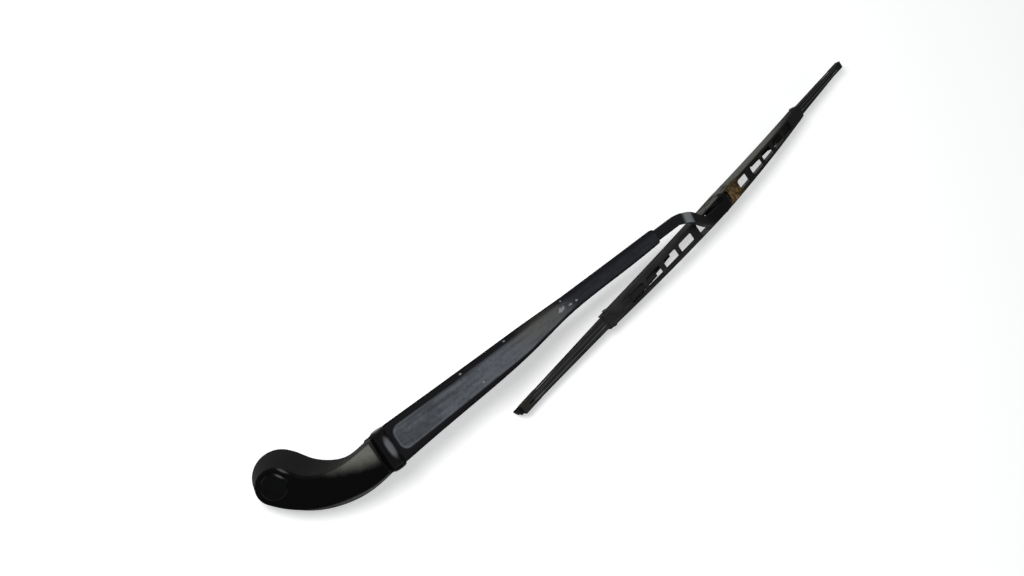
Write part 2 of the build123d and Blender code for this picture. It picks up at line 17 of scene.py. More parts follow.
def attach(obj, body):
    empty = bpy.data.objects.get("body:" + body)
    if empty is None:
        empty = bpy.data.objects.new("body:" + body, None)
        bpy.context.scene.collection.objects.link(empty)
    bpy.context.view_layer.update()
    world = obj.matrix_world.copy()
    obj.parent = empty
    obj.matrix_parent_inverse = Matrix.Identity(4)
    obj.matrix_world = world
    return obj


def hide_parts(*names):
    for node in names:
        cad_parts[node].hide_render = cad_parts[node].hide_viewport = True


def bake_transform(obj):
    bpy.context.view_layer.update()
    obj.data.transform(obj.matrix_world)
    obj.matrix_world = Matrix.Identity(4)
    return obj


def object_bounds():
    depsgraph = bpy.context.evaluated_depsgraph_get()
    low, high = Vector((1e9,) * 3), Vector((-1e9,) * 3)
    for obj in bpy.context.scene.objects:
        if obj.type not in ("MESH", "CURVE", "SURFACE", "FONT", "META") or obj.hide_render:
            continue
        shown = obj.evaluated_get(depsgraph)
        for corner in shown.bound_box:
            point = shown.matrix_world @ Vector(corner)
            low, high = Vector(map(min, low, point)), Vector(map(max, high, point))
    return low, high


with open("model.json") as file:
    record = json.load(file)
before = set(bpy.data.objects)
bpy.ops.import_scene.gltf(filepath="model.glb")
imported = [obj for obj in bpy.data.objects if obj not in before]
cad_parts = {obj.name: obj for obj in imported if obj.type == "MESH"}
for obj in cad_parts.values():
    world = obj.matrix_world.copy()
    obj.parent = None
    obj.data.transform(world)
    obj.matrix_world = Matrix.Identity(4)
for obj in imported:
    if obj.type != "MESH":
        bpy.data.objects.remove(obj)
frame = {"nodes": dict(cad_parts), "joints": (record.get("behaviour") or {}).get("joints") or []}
nodes = frame["nodes"]
joint_at = {joint["name"]: Vector(joint["pos_m"]) for joint in frame["joints"]}
joint_axis = {joint["name"]: Vector(joint["axis"]) for joint in frame["joints"]}
cad_low, cad_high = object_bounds()


def in_mm(metres):
    """Rounded millimetres, for the printed lines."""
    return [round(1000 * length, 1) for length in metres]


print("pieces in the frame:", len(nodes), "box in mm:", in_mm(cad_high - cad_low))

# %% [markdown]
# ## Where the pieces lie
# The arm turns on the hinge, the blade on its cross pin. Each finish below is painted in the axes of the
# piece it is on, so a patch of rust or a chip stays where it is when a joint moves.

# %% Axes of head, arm and blade
hinge = joint_at["arm_lift"]
blade_pin = joint_at["blade_pivot"]
blade_left = joint_axis["blade_pivot"]
blade_roll = asin(blade_left.z)
blade_yaw = atan2(-blade_left.x, blade_left.y)
head_lean = radians(20)
head_axes = (Vector((0, 0, 0)), Euler((0, -head_lean, 0)))
arm_axes = (hinge, Euler((0, 0, 0)))
blade_axes = (blade_pin, Euler((blade_roll, 0, blade_yaw)))
print("hinge", in_mm(hinge), "blade pin", in_mm(blade_pin), "in mm")
print("blade turned by", round(degrees(blade_yaw), 2), "and rolled by", round(degrees(blade_roll), 2),
      "degrees")

# %% [markdown]
# ## Camera
# The photograph was taken with a wide lens from above the head, so the head looks large and the far blade
# tip small. A camera could be tried by eye, but a fit of the CAD's corners to the picture gives its place,
# turn and lens at once.

# %% Camera
camera_place = Vector((-0.03417, 0.0485, 0.46081))
camera_turn = Euler((radians(12.473), radians(-24.361), radians(-36.748)), "XYZ")
lens_data = bpy.data.cameras.new("camera")
lens_data.sensor_width = 36.0
lens_data.lens = 25.085
camera = bpy.data.objects.new("camera", lens_data)
camera.location = camera_place
camera.rotation_euler = camera_turn
bpy.context.scene.collection.objects.link(camera)
bpy.context.scene.camera = camera
print("camera", round((camera_place - hinge).length * 1000), "mm from the hinge, lens", lens_data.lens)

# %% [markdown]
# ## Nodes in few words
# The table, the world and every finish are small trees of shader nodes. Typed out link by link they would
# fill pages, so three helpers do it: one fills an input with a value or a link, one adds a node together
# with its inputs, and one does a step of arithmetic.


# %% Node helpers
def feed(tree, socket, value):
    """Gives an input socket a value, or a link from another node's output."""
    if isinstance(value, bpy.types.NodeSocket):
        tree.links.new(value, socket)
    else:
        socket.default_value = value


def add(tree, kind, settings=None, **sockets):
    """A new node. An input goes by its label, or by its number as i0, i1 and so on."""
    made = tree.nodes.new("ShaderNode" + kind)
    for name, value in (settings or {}).items():
        setattr(made, name, value)
    for name, value in sockets.items():
        key = int(name[1:]) if name[0] == "i" and name[1:].isdigit() else name.replace("_", " ")
        feed(tree, made.inputs[key], value)
    return made


def calc(tree, operation, first, second, clamp=False):
    """One step of arithmetic on masks or values."""
    return add(tree, "Math", {"operation": operation, "use_clamp": clamp}, i0=first, i1=second).outputs[0]


# %% [markdown]
# ## Floor and light
# The arm lies on a white table. Its head touches the table and the blade's far tip hangs about a centimetre
# above it, as the gap between that tip and its shadow shows, so the table slopes down by one degree in this
# frame. One lamp hangs beside the camera, up and to its left, so only a narrow pale shadow shows along the
# lower right of each piece. A lamp farther off would throw long shadows instead. Its light is set not to
# weaken with distance, which keeps the table evenly white, and the world fills the rest.

# %% Floor
bpy.context.scene.view_settings.view_transform = "Standard"
table_half, table_ahead = 6.0, 0.3
table_slope = Matrix.Rotation(radians(1), 3, "Y")
floor_mesh = bmesh.new()
bmesh.ops.create_grid(floor_mesh, x_segments=1, y_segments=1, size=table_half)
bmesh.ops.translate(floor_mesh, verts=floor_mesh.verts, vec=(table_ahead, 0, cad_low.z))
bmesh.ops.rotate(floor_mesh, verts=floor_mesh.verts, cent=(0, 0, cad_low.z), matrix=table_slope)
floor_data = bpy.data.meshes.new("floor")
floor_mesh.to_mesh(floor_data)
floor_mesh.free()
floor = bpy.data.objects.new("floor", floor_data)
bpy.context.scene.collection.objects.link(floor)
print("floor at", round(1000 * cad_low.z, 2), "mm")


# %% White of the table
def background_rays(tree):
    """1 for rays that show the background: seen directly, in a gloss or through glass."""
    rays = add(tree, "LightPath").outputs
    shown = calc(tree, "MAXIMUM", rays["Is Camera Ray"], rays["Is Glossy Ray"])
    return calc(tree, "MAXIMUM", shown, rays["Is Transmission Ray"])


table_white, table_roughness, table_gloss, table_glow = 0.93, 0.9, 0.1, 0.345
floor_paint = bpy.data.materials.new("white_table")
floor_paint.use_nodes = True
table = floor_paint.node_tree
shader = table.nodes["Principled BSDF"].inputs
shader["Base Color"].default_value = (table_white, table_white, table_white, 1)
shader["Roughness"].default_value = table_roughness
shader["Specular IOR Level"].default_value = table_gloss
shader["Emission Color"].default_value = (1, 1, 1, 1)
feed(table, shader["Emission Strength"], calc(table, "MULTIPLY", background_rays(table), table_glow))
floor_data.materials.append(floor_paint)
print("table glows by", table_glow, "where it is seen")

# %% World
fill_colour, fill_strength = (0.97, 0.985, 1, 1), 0.38
world = bpy.data.worlds.new("studio")
bpy.context.scene.world = world
world.use_nodes = True
sky = world.node_tree
sky.nodes.clear()
fill = add(sky, "Background", Color=fill_colour, Strength=fill_strength)
seen = add(sky, "Background", Strength=1.0)
choose = add(sky, "MixShader", Fac=background_rays(sky), i1=fill.outputs[0], i2=seen.outputs[0])
add(sky, "OutputWorld", Surface=choose.outputs[0])
print("world fills at", fill_strength)

# %% Lamp
lamp_left, lamp_above, lamp_radius, lamp_power = 0.075, 0.088, 0.075, 27.0
camera_right = camera_turn.to_matrix() @ Vector((1, 0, 0))
camera_up = camera_turn.to_matrix() @ Vector((0, 1, 0))
lamp_data = bpy.data.lights.new("window", "POINT")
lamp_data.shadow_soft_size = lamp_radius
lamp_data.energy = lamp_power
lamp_data.use_nodes = True
glow = lamp_data.node_tree
even = add(glow, "LightFalloff", Strength=1.0).outputs["Constant"]
feed(glow, glow.nodes["Emission"].inputs["Strength"], even)
lamp = bpy.data.objects.new("window", lamp_data)
lamp.location = camera_place - lamp_left * camera_right + lamp_above * camera_up
bpy.context.scene.collection.objects.link(lamp)
print("lamp", round((lamp.location - hinge).length, 2), "m from the hinge,", lamp_power, "W")

# %% [markdown]
# ## Building blocks for the finishes
# A finish is built from masks: values between 0 and 1 over the surface that say where dust lies or paint
# has gone. A few short helpers shape them. Grain, patches, a dust film, worn edges and specks are node groups
# with named inputs, built once and placed in each finish that needs them. A group gives out masks only, and
# the finish decides what they colour.


# %% Mask helpers
def product(tree, first, *others, clamp=False):
    """Masks multiplied together, and kept between 0 and 1 if asked."""
    for other in others[:-1]:
        first = calc(tree, "MULTIPLY", first, other)
    return calc(tree, "MULTIPLY", first, others[-1], clamp)


def either_of(tree, first, second):
    """The stronger of two masks."""
    return calc(tree, "MAXIMUM", first, second)


def without(tree, mask, gone):
    """A mask with another taken out of it."""
    return product(tree, mask, calc(tree, "SUBTRACT", 1.0, gone))


def level(tree, mask, low, high):
    """A value that runs from low to high with a mask."""
    return add(tree, "MapRange", Value=mask, i3=low, i4=high).outputs[0]


def slope(tree, value, span, ends):
    """A value that runs straight between its two ends over a span, and stays level beyond."""
    return add(tree, "MapRange", Value=value, i1=span[0], i2=span[1], i3=ends[0], i4=ends[1]).outputs[0]


def weighed(tree, value, weight, other):
    """A value times its weight, added to another."""
    return add(tree, "Math", {"operation": "MULTIPLY_ADD"}, i0=value, i1=weight, i2=other).outputs[0]


soft_step = {"interpolation_type": "SMOOTHSTEP"}
band_core = 0.35


def ramp(tree, value, low, high):
    """A soft step from 0 at low to 1 at high."""
    return add(tree, "MapRange", soft_step, Value=value, i1=low, i2=high).outputs[0]


def band(tree, value, middle, half_width):
    """A thin soft stripe around one value, at its full strength over its core."""
    away = calc(tree, "ABSOLUTE", calc(tree, "SUBTRACT", value, middle), 0.0)
    return ramp(tree, away, half_width, band_core * half_width)


# %% Place helpers
def split(tree, vector):
    """X, Y and Z of a vector."""
    return add(tree, "SeparateXYZ", Vector=vector).outputs


def turned(tree, place, turn, middle=(0, 0, 0)):
    """A place measured from a middle along turned axes."""
    mapped = add(tree, "Mapping", {"vector_type": "TEXTURE"}, Vector=place, Location=middle, Rotation=turn)
    return mapped.outputs[0]


# %% Group helpers
def new_group(name, inputs, outputs):
    """An empty shader node group, what it is given and where its results go."""
    group = bpy.data.node_groups.new(name, "ShaderNodeTree")
    for label, kind, value in inputs:
        socket = group.interface.new_socket(name=label, in_out="INPUT", socket_type="NodeSocket" + kind)
        socket.default_value = value
    for label in outputs:
        group.interface.new_socket(name=label, in_out="OUTPUT", socket_type="NodeSocketFloat")
    return group, group.nodes.new("NodeGroupInput").outputs, group.nodes.new("NodeGroupOutput").inputs


def use(tree, group, **sockets):
    """A node group placed in a finish."""
    return add(tree, "Group", {"node_tree": group}, **sockets).outputs


# %% Grain: cloudy noise, drawn out along an axis where its stretch is small
grain_group, given, result = new_group(
    "grain",
    [("Place", "Vector", (0, 0, 0)), ("Stretch", "Vector", (1, 1, 1)), ("Scale", "Float", 500.0),
     ("Detail", "Float", 3.0)],
    ["Mask"])
cloud_roughness = 0.6
drawn = add(grain_group, "VectorMath", {"operation": "MULTIPLY"}, i0=given["Place"], i1=given["Stretch"])
clouds = add(grain_group, "TexNoise", Vector=drawn.outputs[0], Scale=given["Scale"], Detail=given["Detail"],
             Roughness=cloud_roughness)
feed(grain_group, result["Mask"], clouds.outputs["Fac"])
print("group grain:", len(grain_group.nodes), "nodes")

# %% Patch: a soft or ragged spot at a place
patch_group, given, result = new_group(
    "patch",
    [("Place", "Vector", (0, 0, 0)), ("Centre", "Vector", (0, 0, 0)),
     ("Half Size", "Vector", (0.01, 0.01, 0.01)), ("Softness", "Float", 0.3), ("Ragged", "Float", 0.5),
     ("Grain", "Float", 300.0)],
    ["Mask"])
offset = add(patch_group, "VectorMath", {"operation": "SUBTRACT"}, i0=given["Place"], i1=given["Centre"])
share = add(patch_group, "VectorMath", {"operation": "DIVIDE"}, i0=offset.outputs[0], i1=given["Half Size"])
reach = add(patch_group, "VectorMath", {"operation": "LENGTH"}, i0=share.outputs[0]).outputs["Value"]
grain = add(patch_group, "TexNoise", Vector=given["Place"], Scale=given["Grain"], Detail=3.0).outputs["Fac"]
swing = calc(patch_group, "SUBTRACT", grain, 0.5)
torn = weighed(patch_group, swing, given["Ragged"], reach)
inner = calc(patch_group, "SUBTRACT", 1.0, given["Softness"])
outer = calc(patch_group, "ADD", 1.0, given["Softness"])
fade = add(patch_group, "MapRange", soft_step, Value=torn, i1=inner, i2=outer, i3=1.0, i4=0.0)
feed(patch_group, result["Mask"], fade.outputs[0])
print("group patch:", len(patch_group.nodes), "nodes")

# %% Dust film: cloudy, drawn out along the piece, and thicker on faces that look up
dust_group, given, result = new_group(
    "dust_film",
    [("Place", "Vector", (0, 0, 0)), ("Up", "Float", 1.0), ("Scale", "Float", 60.0), ("Cover", "Float", 0.5)],
    ["Mask", "Grain"])
powder_scale, powder_share = 1400.0, 0.35
bare_limit, fade_width = 1.1, 0.35
steep, flat = 0.35, 0.95
drawn = add(dust_group, "VectorMath", {"operation": "MULTIPLY"}, i0=given["Place"], i1=(0.35, 1.0, 1.0))
clouds = add(dust_group, "TexNoise", Vector=drawn.outputs[0], Scale=given["Scale"], Detail=5.0,
             Roughness=cloud_roughness).outputs["Fac"]
powder = add(dust_group, "TexNoise", Vector=given["Place"], Scale=powder_scale, Detail=2.0).outputs["Fac"]
both = weighed(dust_group, powder, powder_share, clouds)
least = calc(dust_group, "SUBTRACT", bare_limit, given["Cover"])
most = calc(dust_group, "ADD", least, fade_width)
settled = ramp(dust_group, both, least, most)
feed(dust_group, result["Mask"], product(dust_group, settled, ramp(dust_group, given["Up"], steep, flat)))
feed(dust_group, result["Grain"], powder)
print("group dust_film:", len(dust_group.nodes), "nodes")

# %% Worn edge: where a rounded normal leaves the true one, broken up by noise
wear_group, given, result = new_group(
    "worn_edge",
    [("Place", "Vector", (0, 0, 0)), ("Width", "Float", 0.0006), ("Grain", "Float", 250.0),
     ("Amount", "Float", 0.5)],
    ["Mask"])
same_way, other_way, break_width = 0.99, 0.88, 0.15
rounded = add(wear_group, "Bevel", {"samples": 6}, Radius=given["Width"]).outputs[0]
true_face = add(wear_group, "NewGeometry").outputs["Normal"]
agree = add(wear_group, "VectorMath", {"operation": "DOT_PRODUCT"}, i0=rounded, i1=true_face).outputs["Value"]
breaks = add(wear_group, "TexNoise", Vector=given["Place"], Scale=given["Grain"], Detail=4.0).outputs["Fac"]
limit = calc(wear_group, "SUBTRACT", 1.0, given["Amount"])
gone = ramp(wear_group, breaks, limit, calc(wear_group, "ADD", limit, break_width))
feed(wear_group, result["Mask"], product(wear_group, ramp(wear_group, agree, same_way, other_way), gone))
print("group worn_edge:", len(wear_group.nodes), "nodes")

# %% Specks: a few small chips scattered over a surface
speck_group, given, result = new_group(
    "specks",
    [("Place", "Vector", (0, 0, 0)), ("Spacing", "Float", 90.0), ("Size", "Float", 0.08),
     ("Share", "Float", 0.1)],
    ["Mask"])
cells = add(speck_group, "TexVoronoi", Vector=given["Place"], Scale=given["Spacing"]).outputs
dot = calc(speck_group, "LESS_THAN", cells["Distance"], given["Size"])
draw = add(speck_group, "SeparateColor", Color=cells["Color"]).outputs["Red"]
picked = calc(speck_group, "LESS_THAN", draw, given["Share"])
feed(speck_group, result["Mask"], product(speck_group, dot, picked))
print("group specks:", len(speck_group.nodes), "nodes")


# %% Groups placed in a finish
def noise(tree, place, scale, detail, stretch=(1.0, 1.0, 1.0)):
    """Cloudy grain, its scale in clouds per metre."""
    return use(tree, grain_group, Place=place, Stretch=stretch, Scale=scale, Detail=detail)["Mask"]


def spot(tree, place, centre, half_size, softness, ragged, grain):
    """A patch with its centre and half size in metres."""
    return use(tree, patch_group, Place=place, Centre=centre, Half_Size=half_size, Softness=softness,
               Ragged=ragged, Grain=grain)["Mask"]


def worn_edge(tree, place, width, grain, amount):
    """Edges rubbed over a width in metres."""
    return use(tree, wear_group, Place=place, Width=width, Grain=grain, Amount=amount)["Mask"]


# %% Finish helpers
def new_finish(name, axes, base, roughness, specular):
    """A material with its tree and shader inputs, and the place on the piece in the piece's own axes."""
    finish = bpy.data.materials.new(name)
    finish.use_nodes = True
    tree = finish.node_tree
    shader = tree.nodes["Principled BSDF"].inputs
    shader["Base Color"].default_value = (*base, 1)
    shader["Roughness"].default_value = roughness
    shader["Specular IOR Level"].default_value = specular
    origin, turn = axes
    return finish, tree, shader, turned(tree, add(tree, "TexCoord").outputs["Object"], turn, origin)


def face_normal(tree, axes):
    """X, Y and Z of the way that a face looks, in the piece's own axes."""
    return split(tree, turned(tree, add(tree, "TexCoord").outputs["Normal"], axes[1]))


# Numbers of the Mix node's two colour inputs and of its colour output.
colour_under, colour_over, colour_mixed = 6, 7, 2


def over(tree, mask, under, colour):
    """A colour laid over another where the mask is white."""
    mix = add(tree, "Mix", {"data_type": "RGBA"}, Factor=mask)
    for key, value in ((colour_under, under), (colour_over, colour)):
        feed(tree, mix.inputs[key], value if isinstance(value, bpy.types.NodeSocket) else (*value, 1))
    return mix.outputs[colour_mixed]


def coated(tree, colour, *coats):
    """Coats laid over a colour one by one, each a mask, its strength and its own colour."""
    for mask, strength, coat in coats:
        colour = over(tree, mask if strength == 1 else product(tree, mask, strength), colour, coat)
    return colour


def dress(tree, shader, colour, roughness):
    """Links a colour and a roughness to a finish's shader."""
    feed(tree, shader["Base Color"], colour)
    feed(tree, shader["Roughness"], roughness)


def bumped(tree, shader, height, depth):
    """Fine relief from a height mask, so many metres deep."""
    feed(tree, shader["Normal"], add(tree, "Bump", Height=height, Distance=depth, Strength=1.0).outputs[0])


def paint(finish, *names):
    """Gives CAD pieces a finish."""
    for name in names:
        nodes[name].data.materials.clear()
        nodes[name].data.materials.append(finish)
    print(finish.name, "on", ", ".join(names))


jet_black = (0.0026, 0.0026, 0.0029)
black_gloss = 0.012

# %% [markdown]
# ## Head: satin black cast metal
# The head is a casting under black paint. Its crown is almost jet black, its drafted walls are a lighter
# dark grey, and grey dust lies on the upper half of its back near the hinge, where a hand seldom wipes. A
# plain dark shader would look like rubber, so fine relief, lighter walls and a dust patch break it up. A
# painted highlight runs along the right wall, and painted glints lie by the cap. The knuckle is rubbed to a
# sheen, and its barrel carries a painted highlight.

# %% Head masks
head_finish, tree, shader, place = new_finish("head_paint", head_axes, jet_black, roughness=0.45,
                                              specular=black_gloss)
normal, position = face_normal(tree, head_axes), split(tree, place)
# The walls, the faces that do not look up, are a lighter dark grey than the crown, in a cloudy grain.
walls = ramp(tree, normal["Z"], 0.8, 0.35)
lighter_walls = product(tree, walls, level(tree, noise(tree, place, scale=70.0, detail=5.0), 0.35, 0.95))
# A painted highlight: a grey-green band on the middle of the right wall.
right_wall_highlight = product(tree, ramp(tree, normal["Y"], -0.3, -0.8), ramp(tree, position["X"], 0.015, 0.045))
dust = use(tree, dust_group, Place=place, Up=normal["Z"], Scale=90.0, Cover=0.9)
dust_middle, dust_turn = Vector((0.05, -0.0112, 0.022)), Euler((0, 0, radians(-19)))
back = spot(tree, turned(tree, place, dust_turn, dust_middle), centre=(0, 0, 0),
            half_size=(0.021, 0.0068, 0.02), softness=0.75, ragged=0.5, grain=140.0)
powder = product(tree, level(tree, dust["Mask"], 0.35, 1.0), level(tree, dust["Grain"], 0.6, 1.3))
film = product(tree, powder, back, normal["Z"], clamp=True)
knuckle = spot(tree, place, centre=(0.068, -0.0195, 0.018), half_size=(0.0106, 0.03, 0.03), softness=0.06,
               ragged=0.0, grain=50.0)
film = without(tree, film, knuckle)
# A painted highlight on the top of the knuckle's barrel.
barrel_highlight = spot(tree, place, centre=(0.0662, -0.0185, 0.0229), half_size=(0.0019, 0.0062, 0.004),
              softness=0.45, ragged=0.5, grain=240.0)
glint_turn = Euler((0, 0, radians(31)))
cap_glint = spot(tree, turned(tree, place, glint_turn), centre=(0.0101, 0.0, 0.012),
                 half_size=(0.0007, 0.0036, 0.02), softness=0.5, ragged=0.4, grain=300.0)
cap_glint = product(tree, cap_glint, ramp(tree, normal["Z"], 0.3, 0.8))
edge = worn_edge(tree, place, width=0.0009, grain=160.0, amount=0.55)
print("head: wall film, dust patch, clean knuckle and glints masked")

# %% Head colours
colour = coated(tree, jet_black,
                (lighter_walls, 1, (0.0155, 0.0155, 0.015)),
                (right_wall_highlight, 0.8, (0.06, 0.06, 0.053)),
                (film, 1, (0.14, 0.138, 0.123)),
                (edge, 0.45, (0.07, 0.07, 0.068)),
                (cap_glint, 0.7, (0.09, 0.09, 0.092)),
                (barrel_highlight, 1, (0.11, 0.112, 0.12)))
dress(tree, shader, colour, level(tree, either_of(tree, film, lighter_walls), 0.42, 0.8))
knuckle_sheen, sheen_roughness = 0.12, 0.25
feed(tree, shader["Coat Weight"], product(tree, knuckle, knuckle_sheen))
shader["Coat Roughness"].default_value = sheen_roughness
bumped(tree, shader, noise(tree, place, scale=900.0, detail=3.0), depth=0.00006)
paint(head_finish, "arm_head")

# %% [markdown]
# ## Channel: pressed steel with grey dust and a painted sheen
# The arm is pressed from sheet and painted black. Its flat top carries a blue grey field that is partly dust
# and partly painted sheen, the reflection that the flat top shows, streaked along its length by years of
# wiping, while the rounded shoulders and the walls stay black. The grey field has rounded corners: three
# distances, from the rear edge and the two sides, run through a vector's length, which rounds where they
# meet.

# %% Grey field of the channel
arm_black = (0.0105, 0.0105, 0.0116)
arm_finish, tree, shader, place = new_finish("arm_paint", arm_axes, arm_black, roughness=0.42,
                                             specular=0.0)
normal, position = face_normal(tree, arm_axes), split(tree, place)
field_rear, field_left, field_corner = 0.0058, 0.0096, 0.0052
field_blur, rim_width = 0.12, 0.14
taper_end, tail_end, margin_end = 0.112, 0.15, 0.1
right_edge = calc(tree, "ADD", slope(tree, position["X"], (0.0, taper_end), (-0.0123, -0.0065)),
                  slope(tree, position["X"], (taper_end, tail_end), (0.0, 0.0044)))
right_margin = slope(tree, position["X"], (0.0, margin_end), (0.0058, 0.0026))
from_right = calc(tree, "SUBTRACT", calc(tree, "SUBTRACT", position["Y"], right_edge), right_margin)
from_rear = calc(tree, "SUBTRACT", position["X"], field_rear)
from_left = calc(tree, "SUBTRACT", field_left, position["Y"])
short_of = [calc(tree, "MAXIMUM", calc(tree, "SUBTRACT", field_corner, away), 0.0)
            for away in (from_rear, from_left, from_right)]
corner = add(tree, "CombineXYZ", X=short_of[0], Y=short_of[1], Z=short_of[2]).outputs[0]
outside = add(tree, "VectorMath", {"operation": "LENGTH"}, i0=corner).outputs["Value"]
field = ramp(tree, outside, (1 + field_blur) * field_corner, (1 - field_blur) * field_corner)
rim = product(tree, band(tree, outside, (1 - rim_width) * field_corner, rim_width * field_corner),
              ramp(tree, position["X"], 0.06, 0.01),
              level(tree, noise(tree, place, scale=300.0, detail=3.0), 0.0, 1.2))
print("grey field starts", round(1000 * field_rear, 1), "mm ahead of the hinge")

# %% Wear of the channel
streaks = noise(tree, place, scale=330.0, detail=6.0, stretch=(0.13, 1.0, 1.0))
streaks = slope(tree, streaks, (0.3, 0.7), (0.42, 1.16))
mottle = level(tree, noise(tree, place, scale=420.0, detail=7.0), 0.35, 1.6)
broad_part = spot(tree, place, centre=(0.07, 0.0, 0.004), half_size=(0.078, 0.05, 0.05), softness=0.16,
                  ragged=0.25, grain=70.0)
fading = level(tree, broad_part, 0.14, 1.0)
# The grey field is partly dust and partly painted sheen: it lies on the flat top only, grows stronger away
# from the hinge and is streaked along the arm.
flat_top = ramp(tree, normal["Z"], 0.9, 0.99)
stronger_ahead = slope(tree, position["X"], (0.01, 0.06), (0.72, 1.16))
grey = product(tree, product(tree, flat_top, field), product(tree, streaks, mottle), stronger_ahead, fading,
               clamp=True)
left_fade = either_of(tree, ramp(tree, position["Y"], 0.0106, 0.0068), ramp(tree, position["X"], 0.05, 0.012))
grey = product(tree, grey, left_fade)
brown = spot(tree, place, centre=(0.128, 0.005, 0.004), half_size=(0.022, 0.0058, 0.02), softness=0.6,
             ragged=0.6, grain=200.0)
edge = worn_edge(tree, place, width=0.0006, grain=220.0, amount=0.4)
print("channel: streaks, mottle, brown tinge and worn edges masked")

# %% Stone chips
# Each chip has its place along and across the channel, and half its length.
chips = ((0.1462, 0.0052, 0.0022), (0.1478, 0.0044, 0.0013), (0.1548, 0.0042, 0.0014),
         (0.1604, 0.004, 0.0011), (0.149, 0.0102, 0.0008), (0.0711, -0.0019, 0.0009),
         (0.0983, 0.0111, 0.0007), (0.0611, 0.011, 0.0007))
chip_height, chip_slimness = 0.004, 0.55
marks = use(tree, speck_group, Place=place, Spacing=85.0, Size=0.03, Share=0.04)["Mask"]
for chip_along, chip_side, chip_half in chips:
    chip = spot(tree, place, centre=(chip_along, chip_side, chip_height),
                half_size=(chip_half, chip_slimness * chip_half, chip_height), softness=0.3, ragged=3.2,
                grain=620.0)
    marks = either_of(tree, marks, chip)
print("channel:", len(chips), "stone chips")

# %% Channel colours
tail_haze = product(tree, ramp(tree, position["X"], 0.13, 0.17), 0.6)
colour = coated(tree, arm_black,
                (product(tree, tail_haze, mottle, clamp=True), 1, (0.0135, 0.0135, 0.018)),
                (grey, 1, (0.104, 0.112, 0.126)),
                (rim, 0.55, (0.15, 0.155, 0.165)),
                (brown, 0.5, (0.088, 0.085, 0.07)),
                (edge, 0.2, (0.05, 0.052, 0.055)),
                (marks, 0.75, (0.28, 0.29, 0.3)))
dress(tree, shader, colour, level(tree, grey, 0.4, 0.6))
bumped(tree, shader, noise(tree, place, scale=700.0, detail=3.0), depth=0.00004)
paint(arm_finish, "arm_channel")

# %% [markdown]
# ## Rod: black paint with a painted reflection on its slope
# The flat rod goes sideways and down to the blade. Where it twists down, the faces that look up are painted
# grey over one short stretch, a painted reflection on that slope. A stripe turned with the rod keeps the two
# ends of that stretch crisp. Where it twists down, the paint has rubbed off in one
# short stretch and grey steel shows. A stripe turned with the rod keeps the two ends of that stretch crisp.

# %% Rod finish
rod_black = (0.0125, 0.0125, 0.0138)
rod_finish, tree, shader, place = new_finish("rod_paint", arm_axes, rod_black, roughness=0.42,
                                             specular=black_gloss)
normal = face_normal(tree, arm_axes)
# The grey stretch is a painted reflection on the upward faces of the slope, broken by streaky grain.
facet_middle, facet_half = Vector((0.2862, 0.0018, 0.0)), 0.0064
facet_turn = Euler((0, 0, radians(-12)))
along_rod = split(tree, turned(tree, place, facet_turn, facet_middle))["X"]
facet_reflection = product(tree, band(tree, along_rod, 0.0, facet_half), ramp(tree, normal["Z"], 0.3, 0.6))
facet_streaks = level(tree, noise(tree, place, scale=500.0, detail=4.0, stretch=(1.0, 0.3, 1.0)), 0.7, 1.2)
edge = worn_edge(tree, place, width=0.0005, grain=200.0, amount=0.55)
beyond = ramp(tree, along_rod, 0.002, 0.006)
colour = coated(tree, rod_black,
                (beyond, 1, (0.0058, 0.0058, 0.0064)),
                (product(tree, facet_reflection, facet_streaks, clamp=True), 1, (0.165, 0.178, 0.185)),
                (edge, 0.5, (0.1, 0.1, 0.1)))
dress(tree, shader, colour, level(tree, facet_reflection, 0.42, 0.5))
bumped(tree, shader, noise(tree, place, scale=800.0, detail=3.0), depth=0.00004)
paint(rod_finish, "arm_rod")

# %% [markdown]
# ## Bow and levers: flaking paint and rust
# The blade's bow and its levers are thin pressed steel. Beside the hook the roof's paint has gone and mottled
# rust shows. The left wall is a grey brown, partly its own dulled paint and partly painted light where it
# faces the lamp, and it still carries black flakes of paint near the middle. Two painted highlight lines run
# along the pressed ribs of the levers. Every mask is measured from the blade's cross pin.

# %% Rust of the bow
bow_black = (0.0095, 0.0095, 0.0098)
bow_finish, tree, shader, place = new_finish("yoke_paint", blade_axes, bow_black, roughness=0.5,
                                             specular=black_gloss)
normal, position = face_normal(tree, blade_axes), split(tree, place)
roof = ramp(tree, normal["Z"], 0.35, 0.7)
rust_spot = spot(tree, place, centre=(0.016, -0.001, 0.004), half_size=(0.014, 0.0095, 0.012), softness=0.4,
                 ragged=1.7, grain=330.0)
rust_spot = product(tree, rust_spot, roof)
ochre = spot(tree, place, centre=(0.012, -0.0025, 0.004), half_size=(0.008, 0.007, 0.012), softness=0.8,
             ragged=1.0, grain=200.0)
rust_tone = ramp(tree, noise(tree, place, scale=420.0, detail=9.0), 0.3, 0.7)
rust_tone = product(tree, rust_tone, level(tree, ochre, 0.35, 1.15), clamp=True)
rust = over(tree, rust_tone, (0.015, 0.0105, 0.007), (0.19, 0.12, 0.05))
print("bow: rust masked and coloured")

# %% Grey left wall, partly painted light, and flakes of the bow
film_from, film_to = (-0.055, -0.012), (0.14, 0.085)
# The film on the left wall is partly dulled paint and partly painted light, laid on the faces that look
# towards the lamp.
left_wall = ramp(tree, normal["Y"], 0.35, 0.75)
film = product(tree, ramp(tree, position["X"], *film_from), ramp(tree, position["X"], *film_to), left_wall,
               level(tree, noise(tree, place, scale=260.0, detail=4.0), 0.55, 1.15), clamp=True)
flaking = spot(tree, place, centre=(-0.003, 0.0085, 0.0), half_size=(0.022, 0.01, 0.02), softness=0.3,
               ragged=0.6, grain=200.0)
flakes = ramp(tree, noise(tree, place, scale=420.0, detail=3.0, stretch=(0.3, 1.0, 1.0)), 0.5, 0.56)
film = without(tree, film, product(tree, flakes, flaking))
print("bow: wall film and flakes masked")
